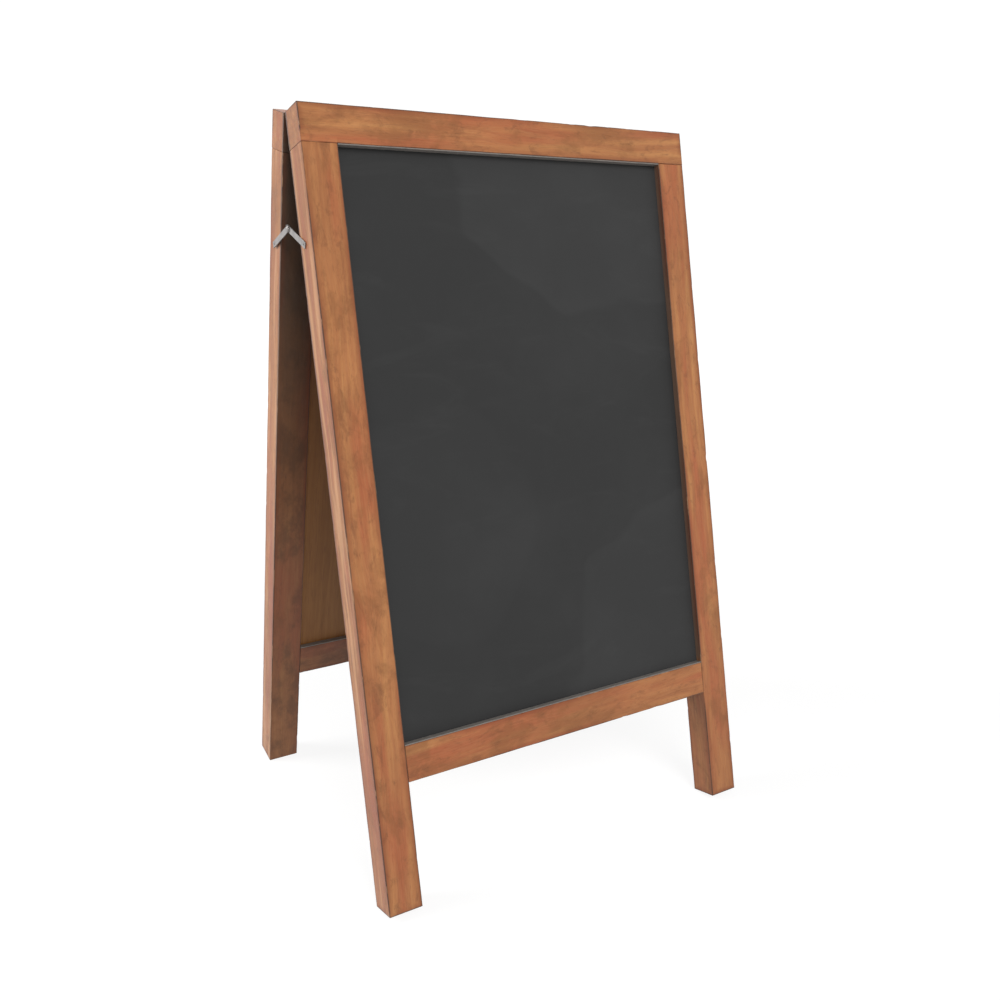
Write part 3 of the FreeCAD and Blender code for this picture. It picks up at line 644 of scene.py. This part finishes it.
def screw_tree():
    """Countersunk cross-recess wood screws, one on each point of the given mesh, heads along 'facing'."""
    metres = "NodeSocketFloat"
    made = GeometryTree("countersunk_screws", {
        "Head Radius": metres, "Head Depth": metres, "Shank Radius": metres, "Length": metres,
        "Thread Height": metres, "Slot Width": metres, "Slot Depth": metres,
        "Seed": "NodeSocketInt", "Metal": "NodeSocketMaterial"})
    head_depth, length, shank = made.given("Head Depth"), made.given("Length"), made.given("Shank Radius")
    head = made.node("GeometryNodeMeshCone", {}, {
        "Vertices": HEAD_SIDES, "Radius Top": made.given("Head Radius"), "Radius Bottom": shank,
        "Depth": head_depth})
    head = made.moved(head, made.math("MULTIPLY", head_depth, -1.0))
    slot_width, slot_depth = made.given("Slot Width"), made.given("Slot Depth")
    slot_length = made.math("MULTIPLY", made.given("Head Radius"), SLOT_REACH)
    bar_size = made.node("ShaderNodeCombineXYZ", {}, {
        "X": slot_length, "Y": slot_width, "Z": made.math("MULTIPLY", slot_depth, 2.0)})
    bar = made.node("GeometryNodeMeshCube", {}, {"Size": bar_size})
    cross_bar = made.node("GeometryNodeTransform", {}, {
        "Geometry": bar, "Rotation": (0, 0, math.pi / 2), "Scale": (1, 1, SECOND_SLOT)})
    head = made.node("GeometryNodeMeshBoolean", {"operation": "DIFFERENCE"}, {0: head, 1: [bar, cross_bar]})
    shank_length = made.math("SUBTRACT", length, head_depth)
    tip_length = made.math("MULTIPLY", shank, SCREW_TAPER)
    core_length = made.math("SUBTRACT", shank_length, tip_length)
    core_radius = made.math("SUBTRACT", shank, made.given("Thread Height"))
    core_depth = made.math("ADD", core_length, SCREW_LAP)
    core = made.node("GeometryNodeMeshCylinder", {}, {
        "Vertices": CORE_SIDES, "Radius": core_radius, "Depth": core_depth})
    core_middle = made.math("ADD", head_depth, made.math("MULTIPLY", core_length, 0.5))
    core = made.moved(core, made.math("SUBTRACT", SCREW_LAP / 2, core_middle))
    tip = made.node("GeometryNodeMeshCone", {}, {
        "Vertices": CORE_SIDES, "Radius Top": core_radius, "Radius Bottom": 0.0,
        "Depth": made.math("ADD", tip_length, SCREW_LAP)})
    tip = made.moved(tip, made.math("MULTIPLY", length, -1.0))
    helix = made.node("GeometryNodeCurveSpiral", {}, {
        "Resolution": TURN_STEPS, "Rotations": SCREW_TURNS, "Start Radius": core_radius,
        "End Radius": core_radius, "Height": core_length})
    crest = made.node("GeometryNodeCurvePrimitiveCircle", {"mode": "RADIUS"}, {
        "Resolution": 3, "Radius": made.given("Thread Height")})
    thread = made.node("GeometryNodeCurveToMesh", {}, {
        "Curve": helix, "Profile Curve": crest, "Fill Caps": True})
    thread = made.moved(thread, made.math("MULTIPLY", made.math("ADD", head_depth, core_length), -1.0))
    screw = made.node("GeometryNodeJoinGeometry", {}, {"Geometry": [head, core, tip, thread]})
    facing = made.node("GeometryNodeInputNamedAttribute", {"data_type": "FLOAT_VECTOR"}, {"Name": "facing"})
    stand = made.node("FunctionNodeAlignRotationToVector", {"axis": "Z"}, {"Vector": facing})
    spin = made.node("FunctionNodeRandomValue", {"data_type": "FLOAT"}, {
        2: 0.0, 3: math.pi / 2, "Seed": made.given("Seed")}, output=1)
    twist = made.node("FunctionNodeAxisAngleToRotation", {}, {"Axis": (0, 0, 1), "Angle": spin})
    stand = made.node("FunctionNodeRotateRotation", {"rotation_space": "LOCAL"}, {
        "Rotation": stand, "Rotate By": twist})
    planted = made.node("GeometryNodeInstanceOnPoints", {}, {
        "Points": made.given("Geometry"), "Instance": screw, "Rotation": stand})
    whole = made.node("GeometryNodeRealizeInstances", {}, {"Geometry": planted})
    whole = made.node("GeometryNodeSetMaterial", {}, {"Geometry": whole, "Material": made.given("Metal")})
    made.tree.links.new(whole, made.end.inputs[0])
    return made


def screw_set(made, name, node, side, axis, material, seed):
    """Screws at the places and of the size of a node's solids, along one of the leaning frame's axes."""
    boxes = islands(node, side)
    low, high = boxes[0]
    across = next(i for i in range(3) if i != axis)
    radius = (high - low)[across] / 2
    length = (high - low)[axis]
    back = TURN[side].to_matrix().inverted()
    points, directions = [], []
    for low, high in boxes:
        middle = (low + high) / 2
        outward = Vector((0, 0, 0))
        outward[axis] = math.copysign(1, middle.x) if axis == ACROSS else 1
        middle[axis] = high[axis] if outward[axis] > 0 else low[axis]
        points.append(back @ middle)
        directions.append(back @ outward)
    seats = bpy.data.meshes.new(name + "_seats")
    seats.from_pydata(points, [], [])
    facing = seats.attributes.new("facing", "FLOAT_VECTOR", "POINT")
    for entry, direction in zip(facing.data, directions):
        entry.vector = direction
    holder = placed(name + "_seats", seats)
    modifier = holder.modifiers.new("screws", "NODES")
    modifier.node_group = made.tree
    sizes = {"Head Radius": radius, "Head Depth": radius - SCREW_SHANK, "Shank Radius": SCREW_SHANK,
             "Length": length, "Thread Height": SCREW_THREAD, "Slot Width": SCREW_SLOT,
             "Slot Depth": SCREW_SLOT_DEPTH, "Seed": seed, "Metal": material}
    for label, value in sizes.items():
        modifier[made.identifiers[label]] = value
    ready = bpy.context.evaluated_depsgraph_get()
    mesh = bpy.data.meshes.new_from_object(holder.evaluated_get(ready))
    bpy.data.objects.remove(holder)
    work = bmesh.new()
    work.from_mesh(mesh)
    bmesh.ops.remove_doubles(work, verts=work.verts, dist=MERGE_GAP)
    bmesh.ops.recalc_face_normals(work, faces=work.faces)
    finished_piece(name, work, material, [node], SCREW_CREASE)


# ---------------------------------------------------------------- the timber frames


def build_frames():
    """The eight timbers. Each has its grain's direction, seed, redness and butted ends."""
    timbers = {"top_rail": ("x", 3.1, 0.01, []),
               "bottom_rail": ("x", 5.6, 0.12, [(ACROSS, -1), (ACROSS, 1)]),
               "left_stile": ("z", 1.4, 0.02, [(UPWARD, 1)]),
               "right_stile": ("z", 7.9, 0.08, [(UPWARD, 1)])}
    for number, side in enumerate(SIDES):
        for part, (grain, seed, redness, butted) in timbers.items():
            node = f"{side}_{part}"
            own_seed = seed + number * 11.3
            finish = timber_finish(f"lacquered_{node}", node, side, grain, own_seed, redness, butted)
            worn_timber(f"timber_{node}", node, side, grain, finish, own_seed)


def build_panels():
    """Finishes for the panels, their backings and the dowels, which keep the shapes they have."""
    for number, side in enumerate(SIDES):
        low, high = turned_box(f"{side}_chalk_panel", side)
        width, height = high.x - low.x, high.z - low.z
        arcs = [(low.x + width * 0.95, high.z + height * 0.10, height * 0.42, 12 * MM, 0.35),
                (high.x - width * 0.05, low.z + height * 0.02, height * 0.30, 10 * MM, 0.30),
                (low.x + width * 0.1, low.z + height * 0.4, height * 0.22, 20 * MM, 0.12)]
        board = chalkboard_finish(f"{side}_chalkboard", side, arcs)
        repaint(f"{side}_chalk_panel", board)
        repaint(f"{side}_backing_board", backing_finish(f"{side}_stained_board", side, 2.0 + number))
        repaint(f"{side}_dowels", dowel_finish(f"{side}_beech", side))


def repaint(node, material):
    for slot in frame["nodes"][node].material_slots:
        slot.material = material


# ---------------------------------------------------------------- the metalwork


def build_metalwork():
    """Channels, hinges, stays and all their screws."""
    made = screw_tree()
    zinc = {}
    for number, side in enumerate(SIDES):
        aluminium = metal_finish(f"{side}_aluminium", side, "#7A746F", "#88817B", (0.02, 1, 1), 0.58,
                                 sheen=0.35, relief=0.04 * MM)
        zinc[side] = metal_finish(f"{side}_zinc_plate", side, "#8A8786", "#A09C9A", (0.3, 1, 1), 0.34)
        for place in ("top", "bottom"):
            node = f"{side}_{place}_channel"
            metal_piece(f"dressed_{node}", node, aluminium, CHANNEL_EDGE)
        for hand in HANDS:
            for node in (f"{hand}_hinge_{side}_leaf", f"{hand}_stay_{side}_arm"):
                metal_piece(f"plated_{node}", node, zinc[side], METAL_EDGE)
        screw_set(made, f"{side}_leaf_screws", f"{side}_hinge_screws", side, OUTWARD, zinc[side], 4 + number)
        screw_set(made, f"{side}_pivot_screws", f"{side}_stay_screws", side, ACROSS, zinc[side], 8 + number)
    for hand in HANDS:
        metal_piece(f"turned_{hand}_hinge_pin", f"{hand}_hinge_pin", zinc["front"], METAL_EDGE)
        for part in ("rivet_tail", "rivet_head"):
            metal_piece(f"turned_{hand}_{part}", f"{hand}_stay_{part}", zinc["front"], METAL_EDGE / 2)
    metal_piece("turned_rear_stay_spacers", "rear_stay_spacers", zinc["rear"], METAL_EDGE)


# ---------------------------------------------------------------- floor, light and camera


def stage_piece(name, work, material):
    """A stage object that is seen and mirrored, but throws no coloured light back onto the timber."""
    piece = solid(name, work, material)
    piece.visible_diffuse = False
    piece.visible_shadow = False


def build_stage():
    """A pale floor just under the feet, and a white backdrop all round."""
    finish = Finish("floor_paper")
    place = finish.node("ShaderNodeTexCoord", {}, {}, "Object")
    colour = finish.mix(finish.noise(place, 3, 2), paint("#6E6E6E"), paint("#747474"))
    far = finish.mask(finish.vector("LENGTH", place, output="Value"), *HORIZON)
    glow = finish.mix(far, (0.86, 0.86, 0.86, 1), (1, 1, 1, 1))
    paper = finish.surface(Base_Color=colour, Roughness=0.9, Specular_IOR_Level=0.1, Emission_Color=glow,
                           Emission_Strength=1.0)
    work = bmesh.new()
    bmesh.ops.create_grid(work, x_segments=1, y_segments=1, size=STUDIO_RADIUS)
    bmesh.ops.translate(work, verts=work.verts, vec=(0, 0, -MM))
    stage_piece("studio_floor", work, paper)

    finish = Finish("backdrop_light")
    glow = finish.surface(Base_Color=(0, 0, 0, 1), Emission_Color=(1, 1, 1, 1), Emission_Strength=1.0)
    work = bmesh.new()
    bmesh.ops.create_uvsphere(work, u_segments=48, v_segments=24, radius=STUDIO_RADIUS)
    stage_piece("studio_backdrop", work, glow)


def soft_light(name, direction, distance, size, power, mirrored):
    """A round softbox aimed at the middle of the board."""
    target = Vector((0, 0, BOARD_MIDDLE))
    place = target + Vector(direction).normalized() * distance
    light = bpy.data.lights.new(name, "AREA")
    light.shape = "DISK"
    light.size = size
    light.energy = power
    lamp = placed(name, light)
    lamp.location = place
    lamp.rotation_euler = (target - place).to_track_quat("-Z", "Y").to_euler()
    lamp.visible_glossy = mirrored


def build_lights():
    """Dim light from all round, a soft key from behind on the left and a soft fill from the front."""
    world = bpy.data.worlds.new("studio")
    world.use_nodes = True
    sky = world.node_tree.nodes["Background"]
    sky.inputs["Color"].default_value = (1, 1, 1, 1)
    sky.inputs["Strength"].default_value = 0.32
    bpy.context.scene.world = world
    soft_light("left_key", (-0.78, 0.30, 0.50), 6.0, 3.2, 292, True)
    soft_light("front_fill", (-0.10, -0.82, 0.58), 7.0, 4.2, 378, False)
    bpy.context.scene.view_settings.view_transform = "Standard"


def build_camera():
    """A camera in front of the board and to its left, looking a little down."""
    lens = bpy.data.cameras.new("camera")
    lens.lens = LENS_LENGTH
    lens.sensor_width = SENSOR_WIDTH
    camera = placed("camera", lens)
    yaw, pitch, roll = CAMERA_TURN
    ahead = Vector((math.sin(yaw) * math.cos(pitch), math.cos(yaw) * math.cos(pitch), math.sin(pitch)))
    right = Vector((math.cos(yaw), -math.sin(yaw), 0))
    up = right.cross(ahead)
    across = right * math.cos(roll) + up * math.sin(roll)
    upward = up * math.cos(roll) - right * math.sin(roll)
    facing = Matrix((across, upward, -ahead)).transposed().to_4x4()
    camera.matrix_world = Matrix.Translation(CAMERA_PLACE) @ facing
    bpy.context.scene.camera = camera


build_camera()
build_frames()
build_panels()
build_metalwork()
build_stage()
build_lights()
